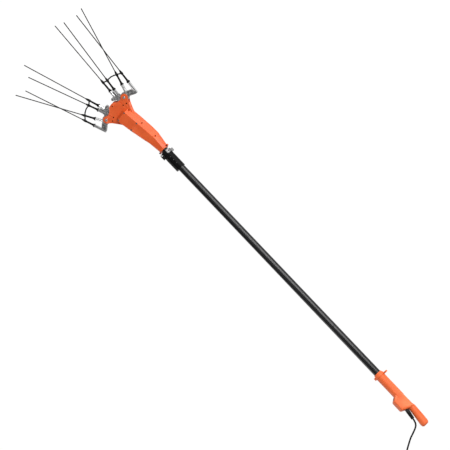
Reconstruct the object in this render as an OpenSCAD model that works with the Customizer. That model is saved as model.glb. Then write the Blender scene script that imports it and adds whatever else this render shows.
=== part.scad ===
// Electric olive harvester with two beating hands on a telescopic pole.
// The tool lies on the ground: +X runs along the pole to the hands, +Z is up.

/* [Pole] */
// Outside diameter of the lower pole
outer_d = 35; // [34:0.5:36]
// Wall of the lower pole
outer_wall = 1.6; // [1.4:0.1:1.8]
// Wall of the sliding pole
inner_wall = 1.5; // [1:0.1:2]
// Length of the sliding pole below the head
inner_len = 1020; // [950:5:1100]
// Length of lower pole in sight between lock and handle
pole_show = 1329; // [1250:1:1400]
// Gap around the sliding pole
slide_gap = 0.35; // [0.3:0.05:0.5]

/* [Head] */
// Upward tilt of the fork against the pole
tilt = 15.5; // [15:0.5:17]
// Distance from the flange to the bend
bend_x = 72; // [70:1:74]
// Distance from the bend to the hand pivots
pivot_u = 231; // [230:0.5:232]
// Half the distance between the two pivots
pivot_v = 76; // [75.5:0.5:77]
// Half thickness of the fork over both covers
fork_h = 14; // [13.5:0.5:14.5]
// Wall of the covers
wall = 3; // [2.8:0.1:3.2]
// Radius of the pivot eyes
eye_r = 17.3; // [16:0.1:19]

/* [Drive] */
// Radius of the motor can
motor_r = 15.8; // [14:0.1:16]
// Length of the motor can
motor_len = 54; // [50:1:54]
// Teeth on the pinion
pinion_z = 10; // [10:1:10]
// Teeth on the crank gear
gear_z = 30; // [30:1:30]
// Lever from hand pivot to link pin
lever = 36; // [35.5:0.5:36.5]
// Swing of each hand to either side
swing = 9; // [7:0.5:9]
// Running gap between moving pieces
run_gap = 0.4; // [0.3:0.05:0.6]
// Radial running fit of shafts
shaft_fit = 0.05; // [0.03:0.01:0.08]

/* [Hands] */
// Radius of the hand hub
hub_r = 21.5; // [20:0.5:22]
// Outside radius of the tine sockets
socket_r = 7.6; // [7.2:0.1:7.8]
// Bore radius of the tine sockets
socket_bore = 5; // [4.5:0.1:5.5]
// Radius of the tines
tine_r = 2.4; // [2:0.1:3]
// Free length of a tine from its socket
tine_len = 400; // [390:1:408]
// Distance from the socket to the comb bridge
bridge_s = 54; // [51:1:57]

/* [Handle] */
// Length of the handle
handle_len = 319; // [318:1:325]
// Radius of the front grip
grip_r = 22.4; // [21:0.1:23.5]
// Radius of the flange lip, which rests on the ground
lip_r = 25; // [25:0.1:25.5]
// Reach of the switch box from the pole axis
box_reach = 44; // [43:0.5:46]
// Turn of the switch box up from the ground
handle_turn = 50; // [46:1:54]
// Radius of the push button
button_r = 6; // [5:0.1:7]
// Travel of the push button
button_travel = 2.5; // [2:0.1:3]
// Radius of the power lead
cord_r = 4; // [3.8:0.1:4]

/* [Hidden] */
$fn = 48;
fit = 0.02;
lock_turn = 28.6;
outer_r = outer_d / 2;
inner_r = outer_r - outer_wall - slide_gap - 0.55;
lock_top = -14;
lock_len = 104;
lock_end = lock_top - lock_len;
lock_r = outer_r + 4;
ring_r = lip_r - 0.1;
tube_top = -44;
tube_foot = 124;
handle_x = lock_end - pole_show;
handle_end = handle_x - handle_len;
slot_h = fork_h - 4;
hand_h = slot_h - run_gap;
socket_depth = 52;
flange_t = 8;
lug_y = 28;
// Socket seats on the hand, their lengths, sideways splay and lean
base = [[27.8, 35.5, 0], [21.6, 18.4, 0], [-2.5, -16.6, 0], [-31.8, -54.6, -2.1]];
stem = [41, 41, 51, 65];
splay = [9.7, 21.5, 23.2, 19.9];
lean = [-4.5, 11, -4.5, 11];
tip_u = pivot_u + base[0].x + (stem[0] + tine_len) * cos(lean[0]) * cos(splay[0]);
tip_w = (stem[0] + tine_len) * sin(lean[0]);
tip_x = bend_x + tip_u * cos(tilt) - tip_w * sin(tilt);
mid_x = (tip_x + handle_end) / 2;
// Crank and yoke
crank_u = 166;
crank_e = lever * sin(swing);
cone = pinion_z / gear_z;
gear_lo = 12.5;
gear_hi = 20.5;
tooth = 1.05;
yoke_h = 3;
yoke_half = 13;
roller_r = 7;
roller_pin = 3.5;
shaft_w = yoke_h + run_gap + gear_hi * cone + tooth + 0.3;
gear_w = shaft_w + gear_hi * cone;
hub_top = gear_w + 9.4;
window_u = roller_r + 2 * crank_e + run_gap;
window_v = roller_r + crank_e + run_gap;
rail_in = yoke_half + run_gap;
motor_u = 46;
gear_u = motor_u + motor_len;
gear_case_r = motor_r - 0.5;
shaft_r = 4;
axle_r = 5;
pivot_r = 5;
bush_r = 7.5;
link_r = 3.5;
// Screws of the covers
plate_screws = [[212, 41.4], [212, -41.4], [205, 59.4], [205, -59.4], [249, 0]];
spine_screws = [[185, 24.4], [185, -24.4], [110, 22.8], [110, -22.8]];
bevel_screws = [for (s = [1, -1]) for (p = [[177, 40.5, 7], [92, 33, 13], [5, 24, 10]]) [p.x, s * p.y, p.z]];
post_r = 5;
screw_r = 2;
spine_seat = 33;
// Cam lock
cam_x = -17;
cam_y = 29;
cam_r = 7.2;
cam_w = 9;
cam_pin_r = 2.5;
cheek_out = 13;
shoe_r = 5;
// Switch box and grip
button_at = [-136.5, 30, 0];
button_ang = 33;
box_in = 15;
grip_screws = [[-162, 37], [-186, 37], [-246, -2], [-297, 0]];
gland_at = [-205, 18, 0];
gland_ang = 9.5;
gland_len = 54.7;

// Puts the pole axis at lip height over the ground and the middle at the origin.
module place() { translate([-mid_x, 0, lip_r]) children(); }
// Frame of the tilted fork, with its own origin at the bend.
module fork() { translate([bend_x, 0, 0]) rotate([0, -tilt, 0]) children(); }
// Frame of the right hand; the left one is the same casting turned over.
module right() { fork() translate([pivot_u, -pivot_v, 0]) children(); }
module left() { fork() translate([pivot_u, pivot_v, 0]) rotate([180, 0, 0]) children(); }
// Frame of the lock, turned about the pole.
module lock() { rotate([lock_turn, 0, 0]) children(); }
// Frame of the handle, whose +Y points to the switch box.
module grip() { translate([handle_x, 0, 0]) rotate([handle_turn, 0, 0]) children(); }
// Cylinder along +X.
module xcyl(r, x0, x1, r2 = -1) {
    translate([x0, 0, 0]) rotate([0, 90, 0]) cylinder(h = x1 - x0, r1 = r, r2 = r2 < 0 ? r : r2);
}
// Round bar between two points.
module rod(p, q, r) {
    d = q - p;
    translate(p) rotate([0, acos(d.z / norm(d)), atan2(d.y, d.x)]) cylinder(h = norm(d), r = r, $fn = 20);
}
// Point on a tine axis, counted from its seat on the hand.
function dir(i) = [cos(lean[i]) * cos(splay[i]), -cos(lean[i]) * sin(splay[i]), sin(lean[i])];
function on_tine(i, s) = base[i] + dir(i) * s;
// Frame whose +Z runs out along tine i, with its origin at the socket mouth.
module along(i) {
    translate(on_tine(i, stem[i])) rotate([0, 0, -splay[i]]) rotate([0, 90 - lean[i], 0]) children();
}
// Solid through a row of equal rings.
module loft(rings) {
    n = len(rings[0]);
    m = len(rings);
    lower = [for (i = [0:m - 2]) for (j = [0:n - 1]) [i * n + j, (i + 1) * n + j, i * n + (j + 1) % n]];
    upper = [for (i = [0:m - 2]) for (j = [0:n - 1])
        [i * n + (j + 1) % n, (i + 1) * n + j, (i + 1) * n + (j + 1) % n]];
    polyhedron(points = [for (r = rings) for (p = r) p],
        faces = concat([[for (j = [0:n - 1]) j]], lower, upper, [[for (j = [n - 1:-1:0]) (m - 1) * n + j]]));
}

// Cross-section of the head: station, top height and half width, shoulder, lower edge, bottom.
function ring(s, t) = [[s[0], s[2] - t / 2, s[1] - t], [s[0], t / 2 - s[2], s[1] - t], [s[0], t - s[4], s[3]],
    [s[0], t - s[4], s[5]], [s[0], t / 2 - s[7], s[6] + t], [s[0], s[7] - t / 2, s[6] + t],
    [s[0], s[4] - t, s[5]], [s[0], s[4] - t, s[3]]];
function tilted(p) = [bend_x + p.x * cos(tilt) - p.z * sin(tilt), p.y, p.x * sin(tilt) + p.z * cos(tilt)];
module head_body(t) {
    back = t > 0 ? socket_depth + 4 : 3;
    stations = [[4, 27.5, 18.7, 7, 31.5, -17, -27, 22],
        [40, 31, 21.5, 5, 37.5, -14, -23.5, 26],
        [110, 35.6, 25.5, 9.5, 41.8, -12, -20, 30],
        [160, 37.5, 28.3, 12, 42.6, -11, -16.5, 36],
        [186 - t, 38.4, 29, 12, 43, -10, -14, 38],
        [200 - t, 14.5, 18, 11, 32, -9, -14, 30]];
    loft(concat([ring([back, 21.5, 10, 9, 22, -9, -21.5, 10], t)],
        [for (s = stations) [for (p = ring(s, t)) tilted(p)]]));
}
// Outline of the fork plates, one half.
half = [[150, 0], [259, 0], [259, 9], [256, 17], [251, 23.5], [246, 28.5], [242, 36], [239.5, 46],
    [239.5, 57], [239.5, pivot_v - 15], [pivot_u, pivot_v], [pivot_u - 13, pivot_v + 11.4], [200, 69.6],
    [177, 54.4], [160, 43.6], [150, 40]];
module both_sides() {
    children();
    mirror([0, 1, 0]) children();
}
module fork_plan() {
    both_sides() {
        polygon(half);
        translate([pivot_u, pivot_v]) circle(eye_r);
    }
}
// Hollow of the fork between its plates.
half_in = [[140, 0], [262, 0], [262, 30], [248, 40], [248, 90], [236, 104], [218, 96], [206, 80.5], [194, 61],
    [175, 47.5], [160, 38], [140, 36]];
module fork_hollow() {
    linear_extrude(2 * slot_h, center = true) both_sides() polygon(half_in);
    both_sides() translate([pivot_u, pivot_v, -slot_h]) cylinder(h = 2 * slot_h, r = hub_r + 2.5);
}
module head_solid() {
    head_body(0);
    fork() linear_extrude(2 * fork_h, center = true) fork_plan();
    xcyl(23, 0, flange_t);
    both_sides() {
        translate([0, 0, -5.5]) cube([flange_t, lug_y, 11]);
        translate([0, lug_y, 0]) xcyl(5.5, 0, flange_t);
    }
}
module head_shell() {
    difference() {
        head_solid();
        difference() {
            union() {
                head_body(wall);
                fork() fork_hollow();
            }
            intersection() {
                head_body(wall / 2);
                fork() for (p = concat(spine_screws, bevel_screws))
                    translate([p.x, p.y, -20]) cylinder(h = 60, r = post_r);
            }
            fork() for (p = plate_screws) translate([p.x, p.y, -fork_h]) cylinder(h = 2 * fork_h, r = post_r);
        }
        xcyl(inner_r, -1, socket_depth);
        xcyl(inner_r - 4, socket_depth - 1, socket_depth + 12);
        fork() both_sides() translate([pivot_u, pivot_v, -20]) cylinder(h = 40, r = pivot_r + fit);
        both_sides() translate([flange_t / 2, lug_y, -10]) cylinder(h = 20, r = screw_r + fit);
        fork() for (p = plate_screws) translate([p.x, p.y, 0]) {
            translate([0, 0, -fork_h + 1]) cylinder(h = 40, r = screw_r + fit);
            translate([0, 0, fork_h - 5]) cylinder(h = 6, r = 3.6);
        }
        fork() for (p = spine_screws) translate([p.x, p.y, 0]) {
            translate([0, 0, -10]) cylinder(h = 60, r = screw_r + fit);
            translate([0, 0, spine_seat]) cylinder(h = 10, r = 4.2);
        }
        fork() for (p = bevel_screws) translate([p.x, p.y, 0]) {
            translate([0, 0, -9]) cylinder(h = 30, r = screw_r + fit);
            translate([0, 0, p.z]) cylinder(h = 40, r = 3.4);
        }
        fork() both_sides() translate([0, 0, fork_h - 2.2]) linear_extrude(4)
            polygon([[213, 40], [243, 44.8], [243, 48], [212.4, 43.2]]);
    }
}
// Region over the bent parting face.
module above() {
    rotate([90, 0, 0]) linear_extrude(400, center = true)
        polygon([[-20, 0], [bend_x, 0], [bend_x + 400 * cos(tilt), 400 * sin(tilt)], [300, 300], [-20, 200]]);
}
module front_cover() {
    color("orangered") difference() {
        union() {
            intersection() {
                head_shell();
                above();
            }
            // bearing boss of the crank axle
            fork() translate([crank_u, 0, hub_top + run_gap]) cylinder(h = 36 - hub_top - run_gap, r = 11);
        }
        fork() translate([crank_u, 0, 10]) cylinder(h = 24, r = axle_r);
    }
}
module rear_cover() {
    color("orangered") {
        difference() {
            head_shell();
            above();
        }
        // rails that guide the yoke
        fork() both_sides() translate([196, rail_in, -fork_h + 2]) cube([18, 3, fork_h - 2 + yoke_h]);
        // cradles under motor and gearbox
        fork() translate([motor_u + 10, 0, 0]) difference() {
            translate([0, -12, -21.5]) cube([5, 24, 18.5]);
            translate([0, 0, shaft_w]) xcyl(motor_r, -1, 7);
        }
        fork() translate([gear_u + 12, 0, 0]) difference() {
            translate([0, -12, -18.5]) cube([5, 24, 15.5]);
            translate([0, 0, shaft_w]) xcyl(gear_case_r, -1, 7);
        }
    }
}
module cover_screws() {
    color("silver") {
        fork() for (p = plate_screws) translate([p.x, p.y, 0]) {
            translate([0, 0, -fork_h + 1]) cylinder(h = 2 * fork_h - 6, r = screw_r);
            translate([0, 0, fork_h - 5]) cylinder(h = 2.4, r = 3.4);
        }
        fork() for (p = spine_screws) translate([p.x, p.y, 0]) {
            translate([0, 0, -9]) cylinder(h = spine_seat + 9.5, r = screw_r);
            difference() {
                translate([0, 0, spine_seat]) cylinder(h = 4, r = 4);
                translate([0, 0, spine_seat + 2]) cylinder(h = 3, r = 2, $fn = 6);
            }
        }
        fork() for (p = bevel_screws) translate([p.x, p.y, 0]) {
            translate([0, 0, -8]) cylinder(h = p.z + 8.5, r = screw_r);
            translate([0, 0, p.z]) cylinder(h = 2.4, r = 3.2);
        }
        both_sides() translate([flange_t / 2, lug_y, 0]) {
            translate([0, 0, -5.5]) cylinder(h = 11.5, r = screw_r);
            translate([0, 0, 5.5]) cylinder(h = 2.4, r = 3.6);
        }
    }
}
// Motor, gearbox and crank drive
module motor_can() {
    color("dimgray") fork() translate([0, 0, shaft_w]) {
        xcyl(motor_r, motor_u, gear_u);
        xcyl(8, motor_u - 4, motor_u + 1);
        both_sides() translate([motor_u - 6, 8.5, -0.6]) cube([7, 5, 1.2]);
    }
}
module gearbox() {
    color("silver") fork() translate([0, 0, shaft_w]) difference() {
        union() {
            xcyl(gear_case_r, gear_u, gear_u + 28);
            xcyl(gear_case_r - 2, gear_u + 27, gear_u + 32);
            xcyl(6.4, gear_u + 31, gear_u + 35);
        }
        xcyl(shaft_r + shaft_fit, gear_u + 18, gear_u + 36);
    }
}
// Toothed outline with straight flanks.
module star(z, r, depth, tip, root) {
    flank = [[r - depth, -root], [r + depth, -tip], [r + depth, tip], [r - depth, root]];
    polygon([for (k = [0:z - 1]) for (p = flank)
        p[0] * [cos((k + p[1]) * 360 / z), sin((k + p[1]) * 360 / z)]]);
}
module drive_pinion() {
    color("gold") fork() translate([crank_u, 0, shaft_w]) {
        translate([-gear_hi, 0, 0]) rotate([0, 90, 0]) rotate([0, 0, 180])
            linear_extrude(gear_hi - gear_lo, scale = gear_lo / gear_hi)
                star(pinion_z, gear_hi * cone, tooth, 0.12, 0.27);
        xcyl(shaft_r, gear_u + 20 - crank_u, -gear_hi + 1);
    }
}
module crank_axle() {
    color("silver") fork() translate([crank_u, 0, 8.4]) cylinder(h = 25.6, r = axle_r);
}
module crank_gear() {
    color("gold") fork() translate([crank_u, 0, 0]) {
        difference() {
            union() {
                translate([0, 0, gear_w]) rotate([180, 0, 180 / gear_z])
                    linear_extrude((gear_hi - gear_lo) * cone, scale = gear_lo / gear_hi)
                        star(gear_z, gear_hi, tooth / cone, 0.12, 0.27);
                translate([0, 0, gear_w - 0.01]) rotate([0, 0, 180 / gear_z]) linear_extrude(tooth + 0.5)
                    star(gear_z, gear_hi, tooth / cone, 0.12, 0.27);
                translate([0, 0, gear_w + tooth + 0.45]) cylinder(h = 3.1, r = gear_hi + 1.5);
                translate([0, 0, yoke_h + 0.6]) cylinder(h = hub_top - yoke_h - 0.6, r = 8.6);
                translate([0, 0, yoke_h + 0.6]) cylinder(h = 4, r = 10);
            }
            translate([0, 0, 8]) cylinder(h = 30, r = axle_r + shaft_fit);
        }
        translate([0, crank_e, -yoke_h - 1]) cylinder(h = 2 * yoke_h + 2.6, r = roller_pin);
        translate([0, crank_e, -yoke_h - 2]) cylinder(h = 1.6, r = 5);
    }
}
module crank_roller() {
    color("silver") fork() translate([crank_u, crank_e, -yoke_h]) difference() {
        cylinder(h = 2 * yoke_h, r = roller_r);
        translate([0, 0, -1]) cylinder(h = 9, r = roller_pin + fit);
    }
}
module drive_yoke() {
    color("gray") fork() translate([0, 0, -yoke_h]) linear_extrude(2 * yoke_h) difference() {
        union() {
            translate([crank_u - window_u - 4.5, -window_v - 4.5]) square([2 * window_u + 9, 2 * window_v + 9]);
            translate([crank_u, -yoke_half]) square([pivot_u - crank_u, 2 * yoke_half]);
            translate([pivot_u - 6.3, -pivot_v + lever - 8]) square([12.6, 2 * (pivot_v - lever) + 16]);
        }
        translate([crank_u - window_u, -window_v]) square([2 * window_u, 2 * window_v]);
        both_sides() translate([pivot_u, pivot_v - lever]) {
            translate([-link_r - 0.3, -1]) square([2 * link_r + 0.6, 2]);
            for (t = [1, -1]) translate([0, t]) circle(link_r + 0.3);
        }
        translate([203, -5]) square([14, 10]);
    }
}
// Hands
module pivot() {
    color("silver") {
        translate([0, 0, -fork_h - 0.5]) cylinder(h = 2 * fork_h + 1, r = pivot_r);
        translate([0, 0, fork_h]) cylinder(h = 2.6, r = 6.6);
        translate([0, 0, fork_h + 2.6]) cylinder(h = 1, r1 = 6.6, r2 = 5.4);
        translate([0, 0, -fork_h - 4]) cylinder(h = 4, r = 7.5, $fn = 6);
    }
}
module bush() {
    color("gold") difference() {
        translate([0, 0, -hand_h]) cylinder(h = 2 * hand_h, r = bush_r);
        translate([0, 0, -20]) cylinder(h = 40, r = pivot_r + shaft_fit);
    }
}
module link_pin() {
    color("silver") translate([0, lever, -hand_h + 0.6]) cylinder(h = 2 * hand_h - 1.2, r = link_r);
}
module hand() {
    bar = 60.1;
    gap = yoke_h + run_gap;
    color("darkgray") difference() {
        union() {
            translate([0, 0, -hand_h]) cylinder(h = 2 * hand_h, r = hub_r);
            // cross bar with its inner end block
            rotate([0, 0, bar]) translate([-62, -15.2, -8]) cube([116, 17, 16]);
            rotate([0, 0, bar]) translate([54, -6.7, -8]) cylinder(h = 16, r = 8.5);
            rotate([0, 0, bar]) translate([62, -6.7, -7]) cylinder(h = 14, r = 7.6);
            // broad outer arm
            rotate([0, 0, bar]) translate([-61, -23, -7.6]) cube([40, 25.4, 15.2]);
            // drive lever inside the fork
            translate([0, lever, -hand_h]) cylinder(h = 2 * hand_h, r = 7.2);
            translate([-5, 8, -hand_h]) cube([26, lever - 6, 2 * hand_h]);
            // cast cups around the sockets and the web between the first two
            for (i = [0:2]) along(i) translate([0, 0, -stem[i] - 4]) cylinder(h = 17, r = socket_r + 1.6);
            translate([0, 0, -2.2]) linear_extrude(4.4) polygon([[26, 36], [20, 18], [53, 7], [60, 27]]);
        }
        translate([0, 0, -20]) cylinder(h = 40, r = bush_r);
        translate([0, lever, -20]) cylinder(h = 40, r = link_r);
        for (i = [0:3]) along(i) translate([0, 0, -stem[i]]) cylinder(h = stem[i] + 20, r = socket_r);
        // gap that straddles the yoke
        translate([-22, hub_r + 0.6, -gap]) cube([32, 24, 2 * gap]);
        // ribbed pockets of the outer arm
        for (w = [5, -9]) for (k = [0, 1]) rotate([0, 0, bar])
            translate([-50 + 13.5 * k, -20, w]) cube([11, 18, 4]);
        rotate([0, 0, bar]) translate([62, -6.7, -9]) cylinder(h = 18, r = 2.5);
    }
}
module sockets() {
    color("gainsboro") for (i = [0:3]) along(i) difference() {
        translate([0, 0, -stem[i]]) cylinder(h = stem[i], r = socket_r);
        translate([0, 0, -26]) cylinder(h = 30, r = socket_bore);
    }
}
module tine(i) {
    color("black") along(i) {
        translate([0, 0, -20]) cylinder(h = tine_len + 20 - tine_r, r = tine_r, $fn = 24);
        translate([0, 0, tine_len - tine_r]) sphere(tine_r, $fn = 24);
    }
}
// Comb of four boots tied together by a bridge
module comb() {
    knot = [for (i = [0:3]) on_tine(i, stem[i] + bridge_s)];
    bow = (knot[1] + knot[2]) / 2 + [13, 3, 0];
    arc = [for (t = [0:0.25:1]) knot[1] * (1 - t) * (1 - t) + bow * 2 * t * (1 - t) + knot[2] * t * t];
    color("black") difference() {
        union() {
            for (i = [0:3]) along(i) {
                translate([0, 0, -14]) cylinder(h = 14.5, r = socket_bore);
                rotate_extrude($fn = 32) polygon([[0, 0], [socket_r + 1.4, 0], [socket_r + 1.6, 3.4], [6.4, 7],
                    [4.7, 15], [4.4, bridge_s - 9], [6.1, bridge_s - 4], [6.1, bridge_s + 3],
                    [3.4, bridge_s + 17], [0, bridge_s + 17]]);
            }
            rod(knot[0], knot[1], 3.2);
            rod(knot[2], knot[3], 3.2);
            for (k = [0:3]) rod(arc[k], arc[k + 1], 3.1);
            for (k = [1:3]) translate(arc[k]) sphere(3.5, $fn = 20);
        }
        for (i = [0:3]) along(i) translate([0, 0, -30]) cylinder(h = 140, r = tine_r, $fn = 24);
    }
}
// Pole and lock
module inner_tube() {
    color("dimgray") difference() {
        xcyl(inner_r, -inner_len, socket_depth);
        xcyl(inner_r - inner_wall, -inner_len - 1, socket_depth + 1);
    }
}
module guide_bush() {
    color("white") difference() {
        union() {
            xcyl(outer_r - outer_wall - slide_gap, -inner_len - 8, -inner_len);
            xcyl(inner_r - inner_wall, -inner_len - 1, -inner_len + 26);
        }
        xcyl(7, -inner_len - 9, -inner_len + 27);
    }
}
module outer_tube() {
    color("black") difference() {
        xcyl(outer_r, handle_x - tube_foot, tube_top);
        xcyl(outer_r - outer_wall, handle_x - tube_foot - 1, tube_top + 1);
    }
}
module lock_sleeve() {
    color("black") lock() difference() {
        union() {
            xcyl(lock_r, lock_end, lock_top);
            for (k = [0:2]) translate([-50 - 20 * k, 0, 0]) rotate([4 * k - 8, 0, 0])
                translate([0, 0, lock_r - 1]) cylinder(h = 1.8, r = 2.6);
        }
        xcyl(outer_r, lock_end - 1, tube_top);
        xcyl(inner_r + slide_gap, tube_top - 1, 0);
        translate([cam_x - 7, 0, 0]) rotate([-90, 0, 0]) cylinder(h = 40, r = shoe_r);
        translate([-42, -40, -1]) cube([30, 20, 2]);
    }
}
module clamp_saddle() {
    color("silver") lock() difference() {
        union() {
            xcyl(ring_r, -30, -12);
            translate([-32, -33, -7]) cube([14, 12, 14]);
        }
        xcyl(lock_r, -40, -5);
        translate([-40, 0, -40]) cube([40, 60, 80]);
        translate([-25, -40, 0]) rotate([-90, 0, 0]) cylinder(h = 30, r = 3);
        // hole on the upper side
        rotate([29, 0, 0]) translate([-21, 0, 0]) cylinder(h = 40, r = 3.2);
    }
}
module cam_base() {
    color("black") lock() difference() {
        union() {
            xcyl(ring_r, -30, -8);
            both_halves() {
                translate([cam_x, cam_y, cam_w + 0.4]) cylinder(h = cheek_out - cam_w - 0.4, r = cam_r);
                translate([-30, 14, cam_w + 0.4]) cube([19, cam_y - 14, cheek_out - cam_w - 0.4]);
            }
        }
        xcyl(lock_r, -40, -5);
        translate([-40, -60, -40]) cube([40, 60, 80]);
        translate([cam_x, cam_y, -20]) cylinder(h = 40, r = cam_pin_r);
        // room for the cam and the root of the lever
        translate([cam_x, cam_y, -cam_w - 0.4]) cylinder(h = 2 * cam_w + 0.8, r = cam_r + 0.5);
        translate([-40, 10, -cam_w - 0.4]) cube([40 + cam_x, 40, 2 * cam_w + 0.8]);
    }
}
module both_halves() {
    children();
    mirror([0, 0, 1]) children();
}
module cam_shoe() {
    color("gold") lock() translate([cam_x - 7, 0, 0]) rotate([-90, 0, 0]) difference() {
        cylinder(h = lock_r - 0.3, r = shoe_r);
        rotate([0, 90, 0]) cylinder(h = 20, r = inner_r + slide_gap, center = true);
    }
}
module cam_lever() {
    color("black") lock() difference() {
        union() {
            translate([cam_x, cam_y, -cam_w]) cylinder(h = 2 * cam_w, r = cam_r);
            translate([-36, 16, -cam_w]) cube([36 + cam_x, 20.2, 2 * cam_w]);
            // blade that hugs the sleeve
            intersection() {
                union() {
                    xcyl(lock_r + 2.9, -60, -34);
                    xcyl(lock_r + 6.8, lock_end, -45);
                }
                translate([-130, 0, 0]) rotate([0, 90, 0]) linear_extrude(110)
                    polygon([[0, 0], [-24, 34], [24, 34]]);
            }
            translate([-80, 20, -4]) cube([45, 7.2, 8]);
        }
        xcyl(lock_r + 0.5, -130, 0);
        translate([cam_x, cam_y, -20]) cylinder(h = 40, r = cam_pin_r + shaft_fit);
    }
}
module cam_pin() {
    color("silver") lock() translate([cam_x, cam_y, 0]) {
        translate([0, 0, -cheek_out]) cylinder(h = 2 * cheek_out, r = cam_pin_r);
        both_halves() translate([0, 0, cheek_out]) cylinder(h = 1.2, r = 4);
    }
}
// Handle
box_plan = [[-128, 0], [-130, 20], [-143, box_reach - 4], [-147, box_reach], [-196, box_reach + 0.5],
    [-201, box_reach - 4], [-214, 8], [-218, -14], [-155, -16], [-132, -12]];
function oval(x, y0, ry, rz) = [for (k = [0:23]) [x, y0 + ry * cos(k * 15 + 7.5), -rz * sin(k * 15 + 7.5)]];
module handle_solid() {
    rotate([0, -90, 0]) rotate_extrude() polygon([[0, 0], [19.5, 0], [21, 5], [24, 11], [lip_r - 0.4, 13],
        [lip_r - 0.4, 19], [grip_r, 22], [grip_r, 150], [0, 150]]);
    // flat foot under the lip
    rotate([-handle_turn, 0, 0]) translate([-18.6, -6, -lip_r]) cube([5.2, 12, 8]);
    // finger lip on the switch side
    rotate([lock_turn - handle_turn, 0, 0]) translate([0, 16, 0]) xcyl(14.4, -20.4, -7.6);
    // strap eye on the other side
    rotate([-handle_turn, 0, 0]) {
        translate([-24, -40, -6]) cube([8, 30, 12]);
        translate([0, -40, 0]) xcyl(6, -24, -16);
    }
    // switch box
    hull() {
        linear_extrude(34, center = true) polygon(box_plan);
        linear_extrude(42, center = true)
            polygon([[-147, -8], [-149, 30], [-156, 36], [-190, 36], [-206, 6], [-210, -8]]);
    }
    // rear grip
    loft([oval(-141, -1, 20, 19), oval(-208, -3, 19, 19), oval(-216, -8, 17, 16.5), oval(-223, -8.4, 17.4, 16.6),
        oval(-243, -6.5, 18, 17), oval(-273, -3.5, 19.6, 17.8), oval(-303, -0.2, 20.5, 18.4),
        oval(-313, 0, 19, 17), oval(-317, 0, 15.5, 14), oval(-handle_len, 0, 12, 11)]);
}
module button_axis() { translate(button_at) rotate([0, 0, button_ang]) rotate([0, 90, 0]) children(); }
module gland_axis() { translate(gland_at) rotate([0, 0, -gland_ang]) children(); }
module handle_shell() {
    difference() {
        handle_solid();
        xcyl(outer_r, -tube_foot, 1);
        xcyl(outer_r - outer_wall, -tube_foot - 14, -tube_foot + 1);
        // hollow of the switch box
        difference() {
            linear_extrude(2 * box_in, center = true) polygon([[-136, 8], [-134.5, 18], [-147.5, 38],
                [-150, box_reach - 4], [-193, box_reach - 4], [-206, 8], [-206, -10], [-150, -12]]);
            for (p = grip_screws) translate([p.x, p.y, -25]) cylinder(h = 50, r = 4);
        }
        // hollow of the rear grip
        difference() {
            translate([0, -3, 0]) xcyl(11.5, -306, -200);
            for (p = grip_screws) translate([p.x, p.y, -25]) cylinder(h = 50, r = 4);
        }
        button_axis() translate([0, 0, -6]) cylinder(h = 30, r = button_r + run_gap);
        gland_axis() xcyl(9.2, -gland_len - 10, -4);
        rotate([-handle_turn, 0, 0]) translate([0, -39, 0]) xcyl(3, -30, 0);
        for (p = grip_screws) translate([p.x, p.y, 0]) {
            translate([0, 0, 11 - grip_r - 18]) cylinder(h = grip_r + 18, r = 1.6 + fit);
            translate([0, 0, -12 - grip_r]) cylinder(h = grip_r, r = 3.2);
        }
        // dimples along the back of the grip
        for (p = [[-242, -28.6], [-277, -26.9], [-303, -25]]) translate([p.x, p.y, 0]) sphere(5.6, $fn = 32);
    }
}
// All of the grip's room on one side of the parting face.
module half_space(s) {
    reach = 2 * handle_len;
    translate([-0.75 * reach, -reach / 2, s * reach]) cube(reach);
}
module handle_upper() {
    color("orangered") grip() difference() {
        handle_shell();
        half_space(-1);
    }
}
module handle_lower() {
    color("orangered") grip() difference() {
        handle_shell();
        half_space(0);
    }
}
module handle_screws() {
    color("silver") grip() for (p = grip_screws) translate([p.x, p.y, 0]) {
        translate([0, 0, -12.5]) cylinder(h = 22.5, r = 1.6);
        translate([0, 0, -14.4]) cylinder(h = 2.4, r = 3);
    }
}
module push_button() {
    color("maroon") grip() button_axis() {
        translate([0, 0, -5.4]) cylinder(h = 7.2, r = button_r);
        translate([0, 0, -7.3]) cylinder(h = 2, r = button_r + 1.8);
        translate([0, 0, -14]) cylinder(h = 8, r = 2.5);
    }
}
module switch_body() {
    color("black") grip() button_axis() difference() {
        translate([-8, -box_in, -27]) cube([16, 2 * box_in, 16.5]);
        translate([0, 0, -14 - button_travel - 1]) cylinder(h = 12, r = 2.5 + run_gap);
    }
}
module cable_gland() {
    color("black") grip() gland_axis() difference() {
        union() {
            xcyl(9.2, -22, -4);
            xcyl(7.6, -gland_len, -21.9, 9.2);
        }
        xcyl(cord_r, -gland_len - 5, 4);
    }
}
// Power lead: out of the gland, down to the ground, then a neat coil and its connector.
ground = -lip_r + cord_r + 0.1;
function gland_point(s) = [handle_x + gland_at.x - s * cos(gland_ang),
    (gland_at.y + s * sin(gland_ang)) * cos(handle_turn), (gland_at.y + s * sin(gland_ang)) * sin(handle_turn)];
lead = [gland_point(10), gland_point(30), gland_point(gland_len), [-1718.5, 20.2, 20.9], [-1730.5, 27.5, 17.5],
    [-1741.5, 44, 9], [-1753, 81, -8], [-1763, 116, -18], [-1776, 145, ground], [-1793, 177.5, ground],
    [-1819, 221, ground], [-1845, 263.7, ground], [-1858, 285, ground]];
coil_r = 44;
coil_turns = 2.5;
coil_rise = 2 * cord_r + 0.6;
head_in = atan2(285 - 263.7, -1858 + 1845);
coil_at = [-1858 + coil_r * cos(head_in + 90), 285 + coil_r * sin(head_in + 90)];
function smooth(p, i, t) = let (a = p[max(i - 1, 0)], b = p[i], c = p[i + 1], d = p[min(i + 2, len(p) - 1)])
    0.5 * (2 * b + (c - a) * t + (2 * a - 5 * b + 4 * c - d) * t * t + (3 * b - a - 3 * c + d) * t * t * t);
function coil_point(t) = let (a = head_in - 90 + t)
    [coil_at.x + coil_r * cos(a), coil_at.y + coil_r * sin(a), ground + coil_rise * t / 360];
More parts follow.
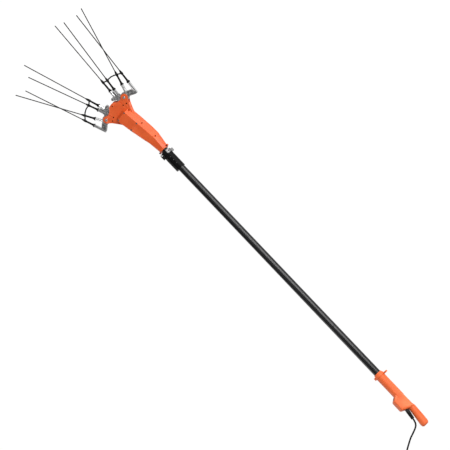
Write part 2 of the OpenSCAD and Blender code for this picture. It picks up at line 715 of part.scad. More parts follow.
tail_dir = [cos(head_in + coil_turns * 360), sin(head_in + coil_turns * 360), 0];
plug_r = 8.5;
plug_z = -lip_r + plug_r;
function ease(q) = q <= 0 ? 0 : q >= 1 ? 1 : q * q * (3 - 2 * q);
function tail_point(s) = let (e = coil_point(coil_turns * 360))
    [e.x + s * tail_dir.x, e.y + s * tail_dir.y, e.z + (plug_z - e.z) * ease((s - 12) / 80)];
route = concat([for (i = [0:len(lead) - 2]) for (k = [0:1]) smooth(lead, i, k / 2)],
    [for (k = [0:24 * coil_turns]) coil_point(15 * k)], [for (s = [14:13:105]) tail_point(s)]);
module power_cord() {
    n = 8;
    last = len(route) - 1;
    rings = [for (i = [0:last]) let (d = route[min(i + 1, last)] - route[max(i - 1, 0)], t = d / norm(d),
        a = cross([0, 0, 1], t), side = a / norm(a), up = cross(t, side))
        [for (k = [0:n - 1]) route[i] + cord_r * (side * cos(k * 45 + 22.5) - up * sin(k * 45 + 22.5))]];
    color("black") loft(rings);
}
echo(coil_gap = coil_rise - 2 * cord_r);
module cord_plug() {
    end = tail_point(105);
    color("black") translate(end) rotate([0, 0, atan2(tail_dir.y, tail_dir.x)]) difference() {
        union() {
            xcyl(plug_r - 2.5, 0.1, 10);
            xcyl(plug_r, 10, 38);
            for (k = [0:2]) xcyl(plug_r - 1.2, 2 + 3 * k, 3.4 + 3 * k);
        }
        for (s = [1, -1]) translate([0, s * 3.6, 0]) xcyl(1.6, 24, 40);
        difference() {
            xcyl(plug_r - 1.2, 34, 40);
            translate([33, -6, -3]) cube([4, 12, 6]);
        }
    }
}

place() front_cover();
place() rear_cover();
place() cover_screws();
place() motor_can();
place() gearbox();
place() drive_pinion();
place() crank_axle();
place() crank_gear();
place() crank_roller();
place() drive_yoke();
place() right() pivot();  // right_pivot
place() fork() translate([pivot_u, pivot_v, 0]) pivot();  // left_pivot
place() right() bush();  // right_bush
place() left() bush();  // left_bush
place() right() hand();  // right_hand
place() left() hand();  // left_hand
place() right() link_pin();  // right_link_pin
place() left() link_pin();  // left_link_pin
place() right() sockets();  // right_sockets
place() left() sockets();  // left_sockets
place() right() comb();  // right_comb
place() left() comb();  // left_comb
place() right() tine(0);  // right_tine_1
place() right() tine(1);  // right_tine_2
place() right() tine(2);  // right_tine_3
place() right() tine(3);  // right_tine_4
place() left() tine(0);  // left_tine_1
place() left() tine(1);  // left_tine_2
place() left() tine(2);  // left_tine_3
place() left() tine(3);  // left_tine_4
place() inner_tube();
place() guide_bush();
place() outer_tube();
place() lock_sleeve();
place() clamp_saddle();
place() cam_base();
place() cam_shoe();
place() cam_lever();
place() cam_pin();
place() handle_upper();
place() handle_lower();
place() handle_screws();
place() push_button();
place() switch_body();
place() cable_gland();
place() power_cord();
place() cord_plug();
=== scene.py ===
"""Looks of the electric olive harvester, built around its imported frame."""
import math

import bmesh
import bpy
from mathutils import Matrix, Vector


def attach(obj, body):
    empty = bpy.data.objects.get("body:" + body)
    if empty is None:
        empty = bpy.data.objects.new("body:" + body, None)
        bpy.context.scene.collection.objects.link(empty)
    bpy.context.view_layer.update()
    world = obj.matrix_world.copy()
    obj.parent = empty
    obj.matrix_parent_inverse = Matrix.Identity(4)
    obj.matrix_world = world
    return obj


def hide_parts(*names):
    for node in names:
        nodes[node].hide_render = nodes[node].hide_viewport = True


bpy.ops.wm.read_factory_settings(use_empty=True)
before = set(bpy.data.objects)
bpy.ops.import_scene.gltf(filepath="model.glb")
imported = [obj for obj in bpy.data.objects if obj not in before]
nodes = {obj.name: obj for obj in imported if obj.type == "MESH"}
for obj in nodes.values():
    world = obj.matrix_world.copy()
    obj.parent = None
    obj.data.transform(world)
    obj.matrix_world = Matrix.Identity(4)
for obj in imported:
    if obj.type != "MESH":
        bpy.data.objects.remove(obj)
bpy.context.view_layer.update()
scene = bpy.context.scene
scene.view_settings.view_transform = "Standard"

# Main places and angles, in mm from the head's flange and the pole axis.
# FLANGE is that point in metres from the part's origin.
FLANGE = Vector((0.508886, 0.0, 0.025))
GROUND = -25
BEND_X = 72
FORK_TILT = math.radians(15.5)
LOCK_TURN = 28.6
HANDLE_X = -1447
BOX_TURN = math.radians(50)
FULL_TURN = 2 * math.pi


def at(x, y, z):
    """Point given in mm from the head's flange and the pole axis, in metres."""
    return Vector((x / 1000, y / 1000, z / 1000)) + FLANGE


def round_angles(count):
    """Angles of the points of a ring."""
    return [k * FULL_TURN / count for k in range(count)]


# Camera at the photograph's angle, shifted by pixels of its frame
FRAME_PX = 450
SHIFT_PX = (-18.41, 7.5)
CAMERA_TILT = math.radians(28.57)
CAMERA_TURN = math.radians(-8.76)
CAMERA_ROLL = math.radians(133.59)
CAMERA_AIM = (-547, 0, 0)
CAMERA_DISTANCE = 7.0
SENSOR, LENS, FAR_CLIP = 36, 119.95, 60


def add_camera():
    """Camera above the pole, rolled as in the photograph."""
    back = Vector((math.sin(CAMERA_TURN),
                   -math.cos(CAMERA_TURN) * math.sin(CAMERA_TILT),
                   math.cos(CAMERA_TURN) * math.cos(CAMERA_TILT)))
    along = (Vector((1, 0, 0)) - back * back.x).normalized()
    across = back.cross(along)
    right = along * math.cos(CAMERA_ROLL) - across * math.sin(CAMERA_ROLL)
    up = along * math.sin(CAMERA_ROLL) + across * math.cos(CAMERA_ROLL)
    data = bpy.data.cameras.new("camera")
    data.sensor_width = SENSOR
    data.lens = LENS
    data.shift_x, data.shift_y = (px / FRAME_PX for px in SHIFT_PX)
    data.clip_end = FAR_CLIP
    camera = bpy.data.objects.new("camera", data)
    scene.collection.objects.link(camera)
    spot = at(*CAMERA_AIM) + back * CAMERA_DISTANCE
    rows = [[right[i], up[i], back[i], spot[i]] for i in range(3)]
    camera.matrix_world = Matrix(rows + [[0, 0, 0, 1]])
    scene.camera = camera


add_camera()


# Material helpers
def new_material(name):
    """Material with its node tree and its main shader."""
    mat = bpy.data.materials.new(name)
    mat.use_nodes = True
    tree = mat.node_tree
    return mat, tree, tree.nodes["Principled BSDF"]


def compute(tree, operation, first, second):
    """Math node on two values, each a socket or a number."""
    node = tree.nodes.new("ShaderNodeMath")
    node.operation = operation
    for socket, value in zip(node.inputs, (first, second)):
        if isinstance(value, (int, float)):
            socket.default_value = value
        else:
            tree.links.new(value, socket)
    return node.outputs[0]


def coords(tree, stretch=(1, 1, 1)):
    """Place on the object, stretched along each axis."""
    tex = tree.nodes.new("ShaderNodeTexCoord")
    mapping = tree.nodes.new("ShaderNodeMapping")
    mapping.inputs["Scale"].default_value = stretch
    tree.links.new(tex.outputs["Object"], mapping.inputs["Vector"])
    return mapping.outputs["Vector"]


def noise(tree, vector, scale, detail=3.0, rough=0.55):
    """Cloudy noise, with its scale in cells to a metre."""
    node = tree.nodes.new("ShaderNodeTexNoise")
    node.inputs["Scale"].default_value = scale
    node.inputs["Detail"].default_value = detail
    node.inputs["Roughness"].default_value = rough
    tree.links.new(vector, node.inputs["Vector"])
    return node.outputs["Fac"]


def bands(tree, vector, direction, scale, distortion=0.0):
    """Even bands along one direction."""
    node = tree.nodes.new("ShaderNodeTexWave")
    node.bands_direction = direction
    node.inputs["Scale"].default_value = scale
    node.inputs["Distortion"].default_value = distortion
    tree.links.new(vector, node.inputs["Vector"])
    return node.outputs["Fac"]


def ramp(tree, fac, stops):
    """Colours along a value, each stop a place and a colour."""
    node = tree.nodes.new("ShaderNodeValToRGB")
    while len(node.color_ramp.elements) < len(stops):
        node.color_ramp.elements.new(0.5)
    for element, (place, colour) in zip(node.color_ramp.elements, stops):
        element.position = place
        element.color = (*colour, 1)
    tree.links.new(fac, node.inputs["Fac"])
    return node.outputs["Color"]


def bump(tree, height, strength, distance, bsdf, after=None):
    """Bump on the shader, laid over an earlier one where that is given."""
    node = tree.nodes.new("ShaderNodeBump")
    node.inputs["Strength"].default_value = strength
    node.inputs["Distance"].default_value = distance
    tree.links.new(height, node.inputs["Height"])
    if after is not None:
        tree.links.new(after, node.inputs["Normal"])
    tree.links.new(node.outputs["Normal"], bsdf.inputs["Normal"])
    return node.outputs["Normal"]


def grey(v):
    """Neutral colour of one level."""
    return (v, v, v)


def edge_mask(tree, low, high):
    """1 on outward edges, 0 on flat stretches."""
    geo = tree.nodes.new("ShaderNodeNewGeometry")
    return ramp(tree, geo.outputs["Pointiness"], [(low, grey(0)), (high, grey(1))])


def mix(tree, fac, a, b):
    """Colour between two, each a socket or a colour."""
    node = tree.nodes.new("ShaderNodeMix")
    node.data_type = "RGBA"
    for source, socket in ((fac, node.inputs[0]), (a, node.inputs[6]), (b, node.inputs[7])):
        if isinstance(source, tuple):
            socket.default_value = (*source, 1)
        else:
            tree.links.new(source, socket)
    return node.outputs[2]


# Kinds of material
def moulded(name, dark, base, light, rough, grain=900.0, spread=14.0, shine=0.5):
    """Moulded plastic: fine spark-eroded grain, soft mottling, and outward edges made paler as a painted
    highlight.
    """
    mat, tree, bsdf = new_material(name)
    bsdf.inputs["Specular IOR Level"].default_value = shine
    vec = coords(tree)
    tone = ramp(tree, noise(tree, vec, spread, 4), [(0.32, dark), (0.5, base), (0.7, light)])
    # Painted highlight: outward edges lightened to a paler copy of the colour, in place of light caught on
    # rounded edges.
    edge_highlight = tuple(min(1, c * 1.18 + 0.02) for c in light)
    edge_highlit = mix(tree, edge_mask(tree, 0.52, 0.62), tone, edge_highlight)
    tree.links.new(edge_highlit, bsdf.inputs["Base Color"])
    patches = noise(tree, vec, spread * 5, 3)
    shade = ramp(tree, patches, [(0.3, grey(rough - 0.06)), (0.7, grey(rough + 0.08))])
    tree.links.new(shade, bsdf.inputs["Roughness"])
    bump(tree, noise(tree, vec, grain, 2), 0.1, 0.00015, bsdf)
    return mat


def metal(name, dark, base, light, rough, stretch, scale, metallic=1.0, grain=0.12, shine=0.5, vary=0.085):
    """Metal with drawn or turned marks along one direction."""
    mat, tree, bsdf = new_material(name)
    bsdf.inputs["Metallic"].default_value = metallic
    bsdf.inputs["Specular IOR Level"].default_value = shine
    fine = noise(tree, coords(tree, stretch), scale, 4)
    broad = noise(tree, coords(tree), 22, 3)
    tone = ramp(tree, fine, [(0.3, dark), (0.5, base), (0.7, light)])
    dull = mix(tree, ramp(tree, broad, [(0.45, grey(0)), (0.75, grey(0.35))]), tone, dark)
    tree.links.new(dull, bsdf.inputs["Base Color"])
    shade = ramp(tree, fine, [(0.3, grey(rough - vary)), (0.7, grey(rough + vary))])
    tree.links.new(shade, bsdf.inputs["Roughness"])
    bump(tree, fine, grain, 0.0003, bsdf)
    return mat


def cast(name, dark, base, light):
    """Sand-cast alloy: pitted skin, and outward edges taken to the lightest tone as a painted highlight.
    """
    mat, tree, bsdf = new_material(name)
    bsdf.inputs["Metallic"].default_value = 0.75
    vec = coords(tree)
    tone = ramp(tree, noise(tree, vec, 120, 5), [(0.3, dark), (0.5, base), (0.72, light)])
    # Painted highlight: outward edges taken to the lightest tone.
    edge_highlit = mix(tree, edge_mask(tree, 0.52, 0.6), tone, light)
    tree.links.new(edge_highlit, bsdf.inputs["Base Color"])
    shade = ramp(tree, noise(tree, vec, 300, 3), [(0.3, grey(0.42)), (0.7, grey(0.62))])
    tree.links.new(shade, bsdf.inputs["Roughness"])
    pits = bump(tree, noise(tree, vec, 700, 3), 0.35, 0.0006, bsdf)
    bump(tree, noise(tree, vec, 140, 2), 0.2, 0.0012, bsdf, pits)
    return mat


def woven(name):
    """Carbon rod: pressed weave under a clear satin coat."""
    mat, tree, bsdf = new_material(name)
    bsdf.inputs["Specular IOR Level"].default_value = 0.2
    bsdf.inputs["Coat Weight"].default_value = 0.12
    bsdf.inputs["Coat Roughness"].default_value = 0.2
    weave = bands(tree, coords(tree), "DIAGONAL", 260, 1.5)
    tone = ramp(tree, weave, [(0.2, grey(0.003)), (0.55, grey(0.008)), (0.85, grey(0.018))])
    tree.links.new(tone, bsdf.inputs["Base Color"])
    shade = ramp(tree, weave, [(0.2, grey(0.28)), (0.8, grey(0.44))])
    tree.links.new(shade, bsdf.inputs["Roughness"])
    bump(tree, weave, 0.2, 0.0002, bsdf)
    return mat


def hook_and_loop(name):
    """Woven strap of the coil's tie: crossed ribs, dull and dark."""
    mat, tree, bsdf = new_material(name)
    bsdf.inputs["Roughness"].default_value = 0.85
    bsdf.inputs["Specular IOR Level"].default_value = 0.15
    vec = coords(tree)
    slanted, level = (bands(tree, vec, direction, 350) for direction in ("DIAGONAL", "Z"))
    ribs = compute(tree, "MULTIPLY", slanted, level)
    tone = ramp(tree, ribs, [(0.1, grey(0.006)), (0.8, grey(0.03))])
    tree.links.new(tone, bsdf.inputs["Base Color"])
    bump(tree, ribs, 0.5, 0.0003, bsdf)
    return mat


def screw_steel(name, low=0.026, high=0.029):
    """Zinc on the tall spine screws; the deep-set ones painted dark brown, by height over the fork's
    middle, as painted shade of their recesses with painted orange bounce light.
    """
    mat, tree, bsdf = new_material(name)
    bsdf.inputs["Metallic"].default_value = 1.0
    bsdf.inputs["Roughness"].default_value = 0.4
    upright = Vector((-math.sin(FORK_TILT), 0, math.cos(FORK_TILT)))
    tex = tree.nodes.new("ShaderNodeTexCoord")
    rise = tree.nodes.new("ShaderNodeVectorMath")
    rise.operation = "DOT_PRODUCT"
    rise.inputs[1].default_value = upright
    tree.links.new(tex.outputs["Object"], rise.inputs[0])
    level = tree.nodes.new("ShaderNodeMapRange")
    middle = at(BEND_X, 0, 0).dot(upright)
    level.inputs["From Min"].default_value = middle + low
    level.inputs["From Max"].default_value = middle + high
    tree.links.new(rise.outputs["Value"], level.inputs["Value"])
    grain = noise(tree, tex.outputs["Object"], 700, 3)
    zinc = ramp(tree, grain, [(0.3, (0.2, 0.18, 0.17)), (0.7, (0.34, 0.31, 0.3))])
    # Painted shade: dark brown for the deep-set screws, in place of the shade of their recesses and the
    # orange light bounced into them.
    recess_shade = ramp(tree, grain, [(0.3, (0.03, 0.012, 0.008)), (0.7, (0.07, 0.026, 0.016))])
    tree.links.new(mix(tree, level.outputs["Result"], recess_shade, zinc), bsdf.inputs["Base Color"])
    bump(tree, grain, 0.1, 0.0002, bsdf)
    return mat


# Plastics and rubber
orange = moulded("orange_moulding", (0.74, 0.095, 0.012), (0.79, 0.108, 0.016), (0.84, 0.126, 0.022),
                 0.42, shine=0.45)
# The grip's finer grain is its own; its paler, brighter orange than the moulding's is painted light on the
# handle.
orange_grip_painted_light = moulded("orange_grip_painted_light", (0.88, 0.142, 0.032), (0.91, 0.158, 0.038), (0.94, 0.176, 0.047),
                      0.5, grain=1300, shine=0.35)
black = moulded("black_moulding", grey(0.002), (0.003, 0.003, 0.0035), grey(0.005),
                0.45, grain=1100, shine=0.08)
comb_black = moulded("comb_nylon", grey(0.003), grey(0.004), grey(0.007),
                     0.4, grain=800, shine=0.14)
red = moulded("button_red", (0.09, 0.007, 0.005), (0.12, 0.009, 0.006), (0.16, 0.013, 0.009),
              0.42, shine=0.2)
rubber = moulded("lead_rubber", grey(0.004), grey(0.006), grey(0.01),
                 0.58, grain=1500, spread=40, shine=0.14)
white = moulded("guide_nylon", (0.62, 0.61, 0.58), (0.7, 0.69, 0.66), (0.76, 0.75, 0.72), 0.5)
strap = hook_and_loop("tie_strap")
carbon = woven("carbon_rod")

# Metals
tube = metal("anodised_tube", (0.0015, 0.0015, 0.002), (0.002, 0.002, 0.003), (0.004, 0.004, 0.005),
             0.25, (0.02, 1, 1), 900, metallic=0.0, grain=0.004, shine=0.35, vary=0.02)
bright = metal("turned_alloy", grey(0.5), grey(0.66), grey(0.8), 0.3, (1, 0.25, 0.25), 500, grain=0.03)
clamp = metal("clamp_alloy", grey(0.16), grey(0.23), grey(0.31), 0.46, (1, 0.25, 0.25), 500, grain=0.05)
rivet = metal("rivet_steel", grey(0.06), grey(0.09), grey(0.13), 0.5, (1, 1, 1), 600, grain=0.05)
steel = metal("zinc_steel", (0.42, 0.42, 0.43), (0.56, 0.56, 0.57), (0.68, 0.68, 0.69),
              0.34, (1, 1, 0.3), 420)
dark_steel = metal("motor_steel", grey(0.1), grey(0.16), grey(0.22), 0.4, (0.1, 1, 1), 500)
gear_steel = metal("gear_steel", (0.2, 0.19, 0.18), (0.3, 0.29, 0.27), (0.4, 0.38, 0.36),
                   0.36, (1, 1, 1), 300)
bronze = metal("bearing_bronze", (0.33, 0.2, 0.08), (0.45, 0.29, 0.12), (0.55, 0.37, 0.17),
               0.36, (1, 1, 0.2), 300)
casting = cast("sand_casting", grey(0.09), grey(0.28), grey(0.62))
screws = screw_steel("screw_steel")

# Finish of each CAD node, by its name or else by the kind of piece
BY_NAME = {"front_cover": orange, "rear_cover": orange, "cover_screws": screws,
           "handle_upper": orange_grip_painted_light, "handle_lower": orange_grip_painted_light, "push_button": red,
           "motor_can": dark_steel, "gearbox": steel, "drive_pinion": gear_steel,
           "crank_gear": gear_steel, "drive_yoke": gear_steel,
           "inner_tube": tube, "outer_tube": tube, "guide_bush": white,
           "clamp_saddle": clamp, "cam_shoe": bronze, "cable_gland": rubber, "power_cord": rubber}
BY_KIND = (("tine", carbon), ("hand", casting), ("sockets", bright), ("comb", comb_black),
           ("bush", bronze), ("screws", steel), ("pin", steel), ("pivot", steel), ("axle", steel),
           ("roller", steel))


def finish_of(name):
    """Material of a CAD node. What no name or kind is given for is black plastic."""
    if name in BY_NAME:
        return BY_NAME[name]
    kind = name.rstrip("_1234")
    return next((mat for ending, mat in BY_KIND if kind.endswith(ending)), black)


for name, obj in nodes.items():
    obj.data.materials.clear()
    obj.data.materials.append(finish_of(name))

# Edges and shading of the CAD nodes
WELD_GAP = 0.000002
SMOOTH_BELOW = math.radians(28)
SOFT_ABOVE = math.radians(32)
SOFT_EDGES_MM = {"front_cover": 1.2, "rear_cover": 1.2, "handle_upper": 0.7, "handle_lower": 0.7,
                 "right_hand": 1.4, "left_hand": 1.4, "cam_lever": 0.8, "cam_base": 0.6,
                 "lock_sleeve": 0.6, "clamp_saddle": 0.5, "cover_screws": 0.3, "cord_plug": 0.4}
# Switch box: its stretch of the handle, its least distance from the pole axis and its rounding
BOX_FROM_X, BOX_TO_X = HANDLE_X - 217, HANDLE_X - 129
BOX_CLEAR = 0.0262
BOX_ROUND = 0.004
BOX_EDGE_ANGLES = (math.radians(40), math.radians(80))
FLAT_WITHIN = math.radians(0.6)


def modifier_group(name):
    """Modifier node group with its input and output sockets."""
    group = bpy.data.node_groups.new(name, "GeometryNodeTree")
    for way in ("INPUT", "OUTPUT"):
        group.interface.new_socket("Geometry", in_out=way, socket_type="NodeSocketGeometry")
    start = group.nodes.new("NodeGroupInput").outputs[0]
    end = group.nodes.new("NodeGroupOutput").inputs[0]
    return group, start, end


def smooth_shading():
    """Nodes that shade a surface smooth across its flatter edges."""
    group, start, end = modifier_group("smooth_shading")
    angle = group.nodes.new("GeometryNodeInputMeshEdgeAngle")
    flat = group.nodes.new("FunctionNodeCompare")
    flat.operation = "LESS_THAN"
    flat.inputs[1].default_value = SMOOTH_BELOW
    faces = group.nodes.new("GeometryNodeSetShadeSmooth")
    edges = group.nodes.new("GeometryNodeSetShadeSmooth")
    edges.domain = "EDGE"
    group.links.new(angle.outputs["Unsigned Angle"], flat.inputs[0])
    group.links.new(start, faces.inputs["Geometry"])
    group.links.new(faces.outputs[0], edges.inputs["Geometry"])
    group.links.new(flat.outputs[0], edges.inputs["Shade Smooth"])
    group.links.new(edges.outputs[0], end)
    return group


def box_edges():
    """Nodes that mark the outer edges of the switch box for rounding."""
    group, start, end = modifier_group("box_edges")
    angle = group.nodes.new("GeometryNodeInputMeshEdgeAngle").outputs["Unsigned Angle"]
    place = group.nodes.new("ShaderNodeSeparateXYZ")
    from_axis = group.nodes.new("ShaderNodeCombineXYZ")
    radius = group.nodes.new("ShaderNodeVectorMath")
    radius.operation = "LENGTH"
    group.links.new(group.nodes.new("GeometryNodeInputPosition").outputs[0], place.inputs[0])
    group.links.new(place.outputs["Y"], from_axis.inputs["Y"])
    group.links.new(compute(group, "SUBTRACT", place.outputs["Z"], FLANGE.z), from_axis.inputs["Z"])
    group.links.new(from_axis.outputs[0], radius.inputs[0])
    weight = compute(group, "GREATER_THAN", radius.outputs["Value"], BOX_CLEAR)
    for value, low, high in ((angle, *BOX_EDGE_ANGLES),
                             (place.outputs["X"], at(BOX_FROM_X, 0, 0).x, at(BOX_TO_X, 0, 0).x)):
        weight = compute(group, "MULTIPLY", weight, compute(group, "GREATER_THAN", value, low))
        weight = compute(group, "MULTIPLY", weight, compute(group, "LESS_THAN", value, high))
    store = group.nodes.new("GeometryNodeStoreNamedAttribute")
    store.data_type = "FLOAT"
    store.domain = "EDGE"
    store.inputs["Name"].default_value = "bevel_weight_edge"
    group.links.new(start, store.inputs["Geometry"])
    group.links.new(weight, store.inputs["Value"])
    group.links.new(store.outputs[0], end)
    return group


def round_box(obj, marks):
    """Wide rounding on the marked edges, once flat stretches are single faces."""
    plain = obj.modifiers.new("plain_faces", "DECIMATE")
    plain.decimate_type = "DISSOLVE"
    plain.angle_limit = FLAT_WITHIN
    obj.modifiers.new("box_edges", "NODES").node_group = marks
    wide = obj.modifiers.new("round_box", "BEVEL")
    wide.limit_method = "WEIGHT"
    wide.width = BOX_ROUND
    wide.segments = 4
    wide.use_clamp_overlap = True


def soften(obj, width_mm):
    """Small rounding on the sharper edges of a moulded or cast solid."""
    soft = obj.modifiers.new("soft_edges", "BEVEL")
    soft.width = width_mm / 1000
    soft.segments = 2
    soft.limit_method = "ANGLE"
    soft.angle_limit = SOFT_ABOVE
    soft.use_clamp_overlap = True


shading = smooth_shading()
marks = box_edges()
for name, obj in nodes.items():
    obj.modifiers.new("weld", "WELD").merge_threshold = WELD_GAP
    if name in ("handle_upper", "handle_lower"):
        round_box(obj, marks)
    if name in SOFT_EDGES_MM:
        soften(obj, SOFT_EDGES_MM[name])
    obj.modifiers.new("shading", "NODES").node_group = shading
    obj.modifiers.new("even_normals", "WEIGHTED_NORMAL").keep_sharp = True


# Mesh helpers
def bridge(bm, low, high):
    """Quads between two closed rings of as many points."""
    for k, point in enumerate(low):
        after = (k + 1) % len(low)
        bm.faces.new((point, high[k], high[after], low[after]))


def to_mesh(bm, name):
    """Mesh of a finished bmesh, its faces turned outwards."""
    bmesh.ops.recalc_face_normals(bm, faces=bm.faces)
    mesh = bpy.data.meshes.new(name)
    bm.to_mesh(mesh)
    bm.free()
    return mesh


def add_piece(mesh, mat, body):
    """Smooth-shaded piece that rides on a body."""
    obj = bpy.data.objects.new(mesh.name, mesh)
    scene.collection.objects.link(obj)
    mesh.materials.append(mat)
    for face in mesh.polygons:
        face.use_smooth = True
    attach(obj, body)
    return obj


# Route of the power lead: out of the gland, down to the ground, along it, into a coil and out to its plug
LEAD_R = 4.0
LEAD_Z = GROUND + 4.1
PLUG_Z = GROUND + 8.5
GLAND_X, GLAND_REACH = HANDLE_X - 205, 18
GLAND_TURN = math.radians(9.5)
LEAD_START = 10
COIL_R, COIL_TURNS, COIL_RISE = 44, 2.5, 8.6
TAIL_LEVEL, TAIL_FALL, TAIL_STEP, TAIL_STEPS = 12, 80, 7, 15
STEPS_PER_SPAN, STEPS_PER_TURN = 4, 48


def gland_point(s):
    """Point on the gland's axis at a distance from its foot."""
    reach = GLAND_REACH + s * math.sin(GLAND_TURN)
    return (GLAND_X - s * math.cos(GLAND_TURN), reach * math.cos(BOX_TURN), reach * math.sin(BOX_TURN))


LEAD = [gland_point(LEAD_START), gland_point(30), gland_point(54.7),
        (-1718.5, 20.2, 20.9), (-1730.5, 27.5, 17.5), (-1741.5, 44, 9), (-1753, 81, -8),
        (-1763, 116, -18), (-1776, 145, LEAD_Z), (-1793, 177.5, LEAD_Z), (-1819, 221, LEAD_Z),
        (-1845, 263.7, LEAD_Z), (-1858, 285, LEAD_Z)]
COIL_START, BEFORE_COIL = LEAD[-1], LEAD[-2]
HEADING = math.atan2(COIL_START[1] - BEFORE_COIL[1], COIL_START[0] - BEFORE_COIL[0])
COIL_X = COIL_START[0] - COIL_R * math.sin(HEADING)
COIL_Y = COIL_START[1] + COIL_R * math.cos(HEADING)


def between(points, i, t):
    """Point on the smooth curve through the points, a share t past point i."""
    last = len(points) - 1
    a, b, c, d = (Vector(points[k]) for k in (max(i - 1, 0), i, i + 1, min(i + 2, last)))
    bend = (2 * a - 5 * b + 4 * c - d) * t * t
    return 0.5 * (2 * b + (c - a) * t + bend + (3 * b - a - 3 * c + d) * t ** 3)


def coil_angle(turn):
    """Angle round the coil's middle after some turns."""
    return HEADING - math.pi / 2 + turn * FULL_TURN


def coil_point(turn):
    """Point of the coil after some turns, each lying on the one before."""
    angle = coil_angle(turn)
    return Vector((COIL_X + COIL_R * math.cos(angle), COIL_Y + COIL_R * math.sin(angle),
                   LEAD_Z + COIL_RISE * turn))


def tail_point(s):
    """Point of the tail, which leaves the coil straight and eases down to the plug."""
    end = coil_point(COIL_TURNS)
    q = min(1, max(0, (s - TAIL_LEVEL) / TAIL_FALL))
    drop = (PLUG_Z - end.z) * q * q * (3 - 2 * q)
    angle = HEADING + COIL_TURNS * FULL_TURN
    return end + Vector((s * math.cos(angle), s * math.sin(angle), drop))


route = [between(LEAD, i, k / STEPS_PER_SPAN) for i in range(len(LEAD) - 1) for k in range(STEPS_PER_SPAN)]
route += [coil_point(k / STEPS_PER_TURN) for k in range(int(STEPS_PER_TURN * COIL_TURNS) + 1)]
route += [tail_point(TAIL_STEP * k) for k in range(1, TAIL_STEPS + 1)]


def sweep(name, points, radius, sides=14):
    """Closed round tube along the points."""
    bm = bmesh.new()
    rings = []
    last = len(points) - 1
    for i, p in enumerate(points):
        tangent = (points[min(i + 1, last)] - points[max(i - 1, 0)]).normalized()
        side = Vector((0, 0, 1)).cross(tangent).normalized()
        over = tangent.cross(side)
        spokes = [side * math.cos(a) + over * math.sin(a) for a in round_angles(sides)]
        rings.append([bm.verts.new(at(*(p + spoke * radius))) for spoke in spokes])
    for low, high in zip(rings, rings[1:]):
        bridge(bm, low, high)
    bm.faces.new(rings[0])
    bm.faces.new(rings[-1][::-1])
    return to_mesh(bm, name)


def coil_tie(name, turn, gap=0.15, thick=1.0, half_width=5.0, arc=12):
    """Strap in a closed loop round the stacked turns of the coil."""
    low = coil_point(turn)
    top = coil_point(turn + int(COIL_TURNS - turn))
    angle = coil_angle(turn)
    out = Vector((math.cos(angle), math.sin(angle), 0))
    along = Vector((-math.sin(angle), math.cos(angle), 0))
    over = [(math.pi * k / (arc - 1), top.z - low.z) for k in range(arc)]
    under = [(math.pi * (1 + k / (arc - 1)), 0) for k in range(arc)]
    bm = bmesh.new()

    def loop(radius, shift):
        ring = []
        for a, lift in over + under:
            rise = Vector((0, 0, radius * math.sin(a) + lift))
            ring.append(bm.verts.new(at(*(low + out * (radius * math.cos(a)) + rise + along * shift))))
        return ring

    inside = LEAD_R + gap
    outside = inside + thick
    rims = [loop(inside, -half_width), loop(outside, -half_width),
            loop(outside, half_width), loop(inside, half_width)]
    for rim, following in zip(rims, rims[1:] + rims[:1]):
        bridge(bm, rim, following)
    return to_mesh(bm, name)


TIE_TURN, TIE_EDGE = 0.3, 0.0003
lead = add_piece(sweep("lead", route, LEAD_R), rubber, "pole")
tie = add_piece(coil_tie("lead_tie", TIE_TURN), strap, "pole")
tie_edge = tie.modifiers.new("soft_edges", "BEVEL")
tie_edge.width = TIE_EDGE
tie_edge.segments = 2
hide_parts("power_cord")

# Rivet heads on the lock sleeve's studs
STUDS, STUD_X, STUD_PITCH = 3, -50, 20
STUD_TURN, STUD_TURN_STEP = LOCK_TURN - 8, 4
STUD_TOP, STUD_R, RIVET_RISE = 22.26, 2.55, 0.75


def rivet_heads(name, rings=5, sides=20):
    """Low domes on the row of studs."""
    bm = bmesh.new()
    for k in range(STUDS):
        turn = math.radians(STUD_TURN + STUD_TURN_STEP * k)
        out = Vector((0, -math.sin(turn), math.cos(turn)))
        across = Vector((0, math.cos(turn), math.sin(turn)))
        foot = Vector((STUD_X - STUD_PITCH * k, 0, 0)) + out * STUD_TOP
        spokes = [Vector((math.cos(a), 0, 0)) + across * math.sin(a) for a in round_angles(sides)]
        rows = []
        for i in range(rings):
            a = i / rings * math.pi / 2
            middle = foot + out * (RIVET_RISE * math.sin(a))
            rows.append([bm.verts.new(at(*(middle + spoke * (STUD_R * math.cos(a))))) for spoke in spokes])
        peak = bm.verts.new(at(*(foot + out * RIVET_RISE)))
        for low, high in zip(rows, rows[1:]):
            bridge(bm, low, high)
        for j in range(sides):
            bm.faces.new((rows[-1][j], rows[-1][(j + 1) % sides], peak))
        bm.faces.new(rows[0][::-1])
    return to_mesh(bm, name)


rivets = add_piece(rivet_heads("sleeve_rivets"), rivet, "pole")

# Pale round floor with an upright wall far out, both in one mesh
ROOM_R, ROOM_H, ROOM_SIDES = 30, 6, 64
FLOOR_GREY = (0.9, 0.9, 0.9, 1)
GLOW, GLOW_SHARE = 1.06, 0.93


def seen_ray(tree):
    """1 for the rays that show the pale background: camera, glossy and transmission."""
    path = tree.nodes.new("ShaderNodeLightPath").outputs
    shown = compute(tree, "MAXIMUM", path["Is Camera Ray"], path["Is Glossy Ray"])
    return compute(tree, "MAXIMUM", shown, path["Is Transmission Ray"])


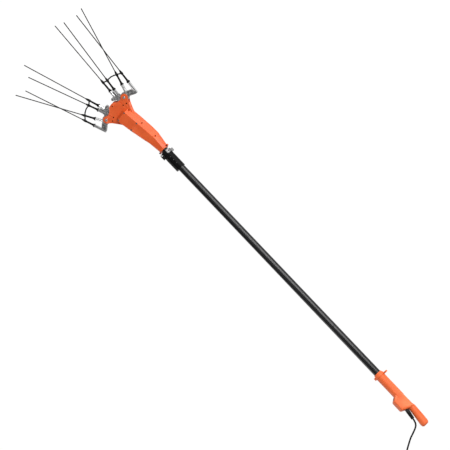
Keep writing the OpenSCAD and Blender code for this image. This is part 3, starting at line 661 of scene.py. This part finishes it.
def pale_floor():
    """Matte floor that looks almost white and still takes a shadow."""
    mat = bpy.data.materials.new("pale_floor")
    mat.use_nodes = True
    tree = mat.node_tree
    tree.nodes.clear()
    output = tree.nodes.new("ShaderNodeOutputMaterial")
    matte = tree.nodes.new("ShaderNodeBsdfDiffuse")
    matte.inputs["Color"].default_value = FLOOR_GREY
    glow = tree.nodes.new("ShaderNodeEmission")
    glow.inputs["Strength"].default_value = GLOW
    blend = tree.nodes.new("ShaderNodeMixShader")
    tree.links.new(compute(tree, "MULTIPLY", seen_ray(tree), GLOW_SHARE), blend.inputs[0])
    tree.links.new(matte.outputs[0], blend.inputs[1])
    tree.links.new(glow.outputs[0], blend.inputs[2])
    tree.links.new(blend.outputs[0], output.inputs["Surface"])
    return mat


def add_floor():
    """Floor disc and wall."""
    points = [(ROOM_R * math.cos(a), ROOM_R * math.sin(a), z)
              for z in (0, ROOM_H) for a in round_angles(ROOM_SIDES)]
    disc = tuple(range(ROOM_SIDES))
    wall = [(k, k + ROOM_SIDES, (k + 1) % ROOM_SIDES + ROOM_SIDES, (k + 1) % ROOM_SIDES) for k in disc]
    mesh = bpy.data.meshes.new("floor")
    mesh.from_pydata(points, [], [disc] + wall)
    mesh.materials.append(pale_floor())
    floor = bpy.data.objects.new("floor", mesh)
    scene.collection.objects.link(floor)


# Studio light
WORLD_STRENGTH = 0.24


def add_lamp(name, place, width, height, power):
    """Soft rectangular lamp that faces the middle of the part."""
    data = bpy.data.lights.new(name, "AREA")
    data.shape = "RECTANGLE"
    data.size = width
    data.size_y = height
    data.energy = power
    lamp = bpy.data.objects.new(name, data)
    lamp.location = place
    lamp.rotation_euler = (-Vector(place)).to_track_quat("-Z", "Y").to_euler()
    scene.collection.objects.link(lamp)


def add_world():
    """Even white light from all round."""
    world = bpy.data.worlds.new("studio")
    world.use_nodes = True
    background = world.node_tree.nodes["Background"]
    background.inputs["Color"].default_value = (1, 1, 1, 1)
    background.inputs["Strength"].default_value = WORLD_STRENGTH
    scene.world = world


add_floor()
add_lamp("key", (0.3, -3.9, 1.2), 2.4, 1.4, 105)
add_lamp("strip", (0.35, -3.0, 3.0), 2.4, 1.0, 75)
add_lamp("fill", (-1.2, 4.0, 1.7), 2.4, 2.4, 45)
add_lamp("top", (0.2, 0.2, 4.6), 2.4, 2.4, 13)
add_world()
